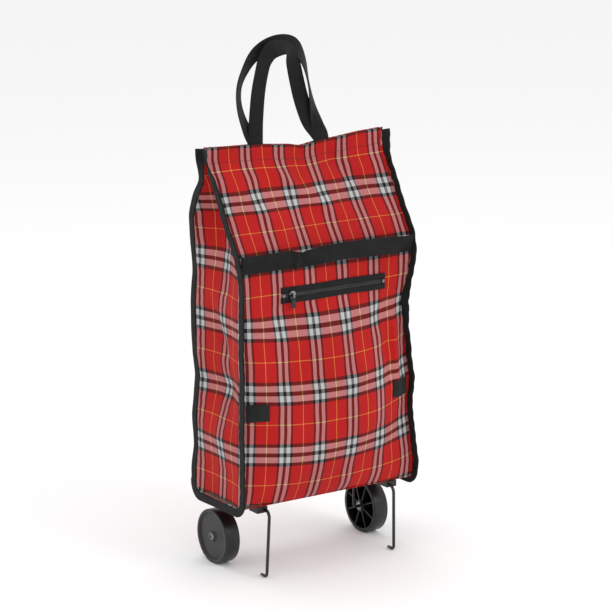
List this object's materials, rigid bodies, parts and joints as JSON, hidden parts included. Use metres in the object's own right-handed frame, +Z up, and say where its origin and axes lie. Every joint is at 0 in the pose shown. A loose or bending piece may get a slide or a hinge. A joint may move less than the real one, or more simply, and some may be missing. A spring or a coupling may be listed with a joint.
{
  "type": "folding shopping trolley",
  "caption": "Tall plaid fabric shopping bag on moulded wheels and bent-wire legs that fold flat under its base, with webbing handles and a zip pocket.",
  "frame": {"origin": "on the floor, under the middle of the whole object", "axes": "+X to the right of someone facing the front, +Y to the back, +Z up"},
  "size_m": [0.3, 0.1608, 0.7535],
  "materials": {
    "plaid_fabric": "woven polyester tartan, red ground with white, black and yellow lines",
    "binding_tape": "ribbed black binding tape",
    "webbing": "flat black woven webbing",
    "hook_and_loop": "black hook-and-loop tape",
    "lining": "plain black pocket lining and zip tape",
    "board": "stiff black sheet",
    "zip_coil": "black nylon coil",
    "moulded_plastic": "satin moulded black plastic",
    "coated_wire": "black coated steel wire",
    "bright_steel": "plated steel"
  },
  "bodies": {
    "bag": {"front_panel": "plaid_fabric", "bottom_panel": "plaid_fabric", "back_panel": "plaid_fabric", "left_gusset": "plaid_fabric", "right_gusset": "plaid_fabric", "left_binding": "binding_tape", "right_binding": "binding_tape", "mouth_loop_tape": "hook_and_loop", "front_strap": "webbing", "left_tab": "hook_and_loop", "right_tab": "hook_and_loop", "upper_zip_tape": "lining", "lower_zip_tape": "lining", "zip_coil": "zip_coil", "zip_stop_left": "bright_steel", "zip_stop_right": "bright_steel", "pocket_lining": "lining", "base_board": "board", "left_front_pivot_block": "moulded_plastic", "left_rear_pivot_block": "moulded_plastic", "right_front_pivot_block": "moulded_plastic", "right_rear_pivot_block": "moulded_plastic", "left_front_rivet_a": "bright_steel", "left_front_rivet_b": "bright_steel", "left_rear_rivet_a": "bright_steel", "left_rear_rivet_b": "bright_steel", "right_front_rivet_a": "bright_steel", "right_front_rivet_b": "bright_steel", "right_rear_rivet_a": "bright_steel", "right_rear_rivet_b": "bright_steel"},
    "mouth_front": {"front_panel_upper": "plaid_fabric", "left_binding_front_upper": "binding_tape", "right_binding_front_upper": "binding_tape", "mouth_hook_tape": "hook_and_loop"},
    "front_handle": {"front_handle": "webbing"},
    "back_handle": {"back_handle": "webbing"},
    "zip_slider": {"zip_slider": "bright_steel"},
    "zip_puller": {"zip_puller": "bright_steel"},
    "left_frame": {"left_wheel_frame": "coated_wire", "left_axle_washer": "bright_steel", "left_axle_nut": "bright_steel"},
    "right_frame": {"right_wheel_frame": "coated_wire", "right_axle_washer": "bright_steel", "right_axle_nut": "bright_steel"},
    "left_wheel": {"left_wheel": "moulded_plastic"},
    "right_wheel": {"right_wheel": "moulded_plastic"}
  },
  "joints": [
    {"name": "mouth_open", "type": "hinge", "parent": "bag", "child": "mouth_front", "pos_m": [0, -0.0525, 0.463], "axis": [1, 0, 0], "range_deg": [0, 32]},
    {"name": "front_handle_swing", "type": "hinge", "parent": "mouth_front", "child": "front_handle", "pos_m": [0, 0.0334, 0.6155], "axis": [1, 0, 0], "range_deg": [0, 140]},
    {"name": "back_handle_swing", "type": "hinge", "parent": "bag", "child": "back_handle", "pos_m": [0, 0.0356, 0.6155], "axis": [-1, 0, 0], "range_deg": [0, 135]},
    {"name": "zip_slide", "type": "slide", "parent": "bag", "child": "zip_slider", "axis": [1, 0, 0], "range_m": [0, 0.148]},
    {"name": "zip_puller_swing", "type": "hinge", "parent": "zip_slider", "child": "zip_puller", "pos_m": [-0.064, -0.0593, 0.4055], "axis": [-1, 0, 0], "range_deg": [0, 120]},
    {"name": "left_frame_fold", "type": "hinge", "parent": "bag", "child": "left_frame", "pos_m": [-0.108, 0.0075, 0.098], "axis": [0, -1, 0], "range_deg": [0, 90]},
    {"name": "right_frame_fold", "type": "hinge", "parent": "bag", "child": "right_frame", "pos_m": [0.108, 0.0075, 0.098], "axis": [0, 1, 0], "range_deg": [0, 90]},
    {"name": "left_wheel_spin", "type": "hinge", "parent": "left_frame", "child": "left_wheel", "pos_m": [-0.1303, 0.0375, 0.04], "axis": [1, 0, 0], "continuous": true},
    {"name": "right_wheel_spin", "type": "hinge", "parent": "right_frame", "child": "right_wheel", "pos_m": [0.1303, 0.0375, 0.04], "axis": [1, 0, 0], "continuous": true}
  ]
}
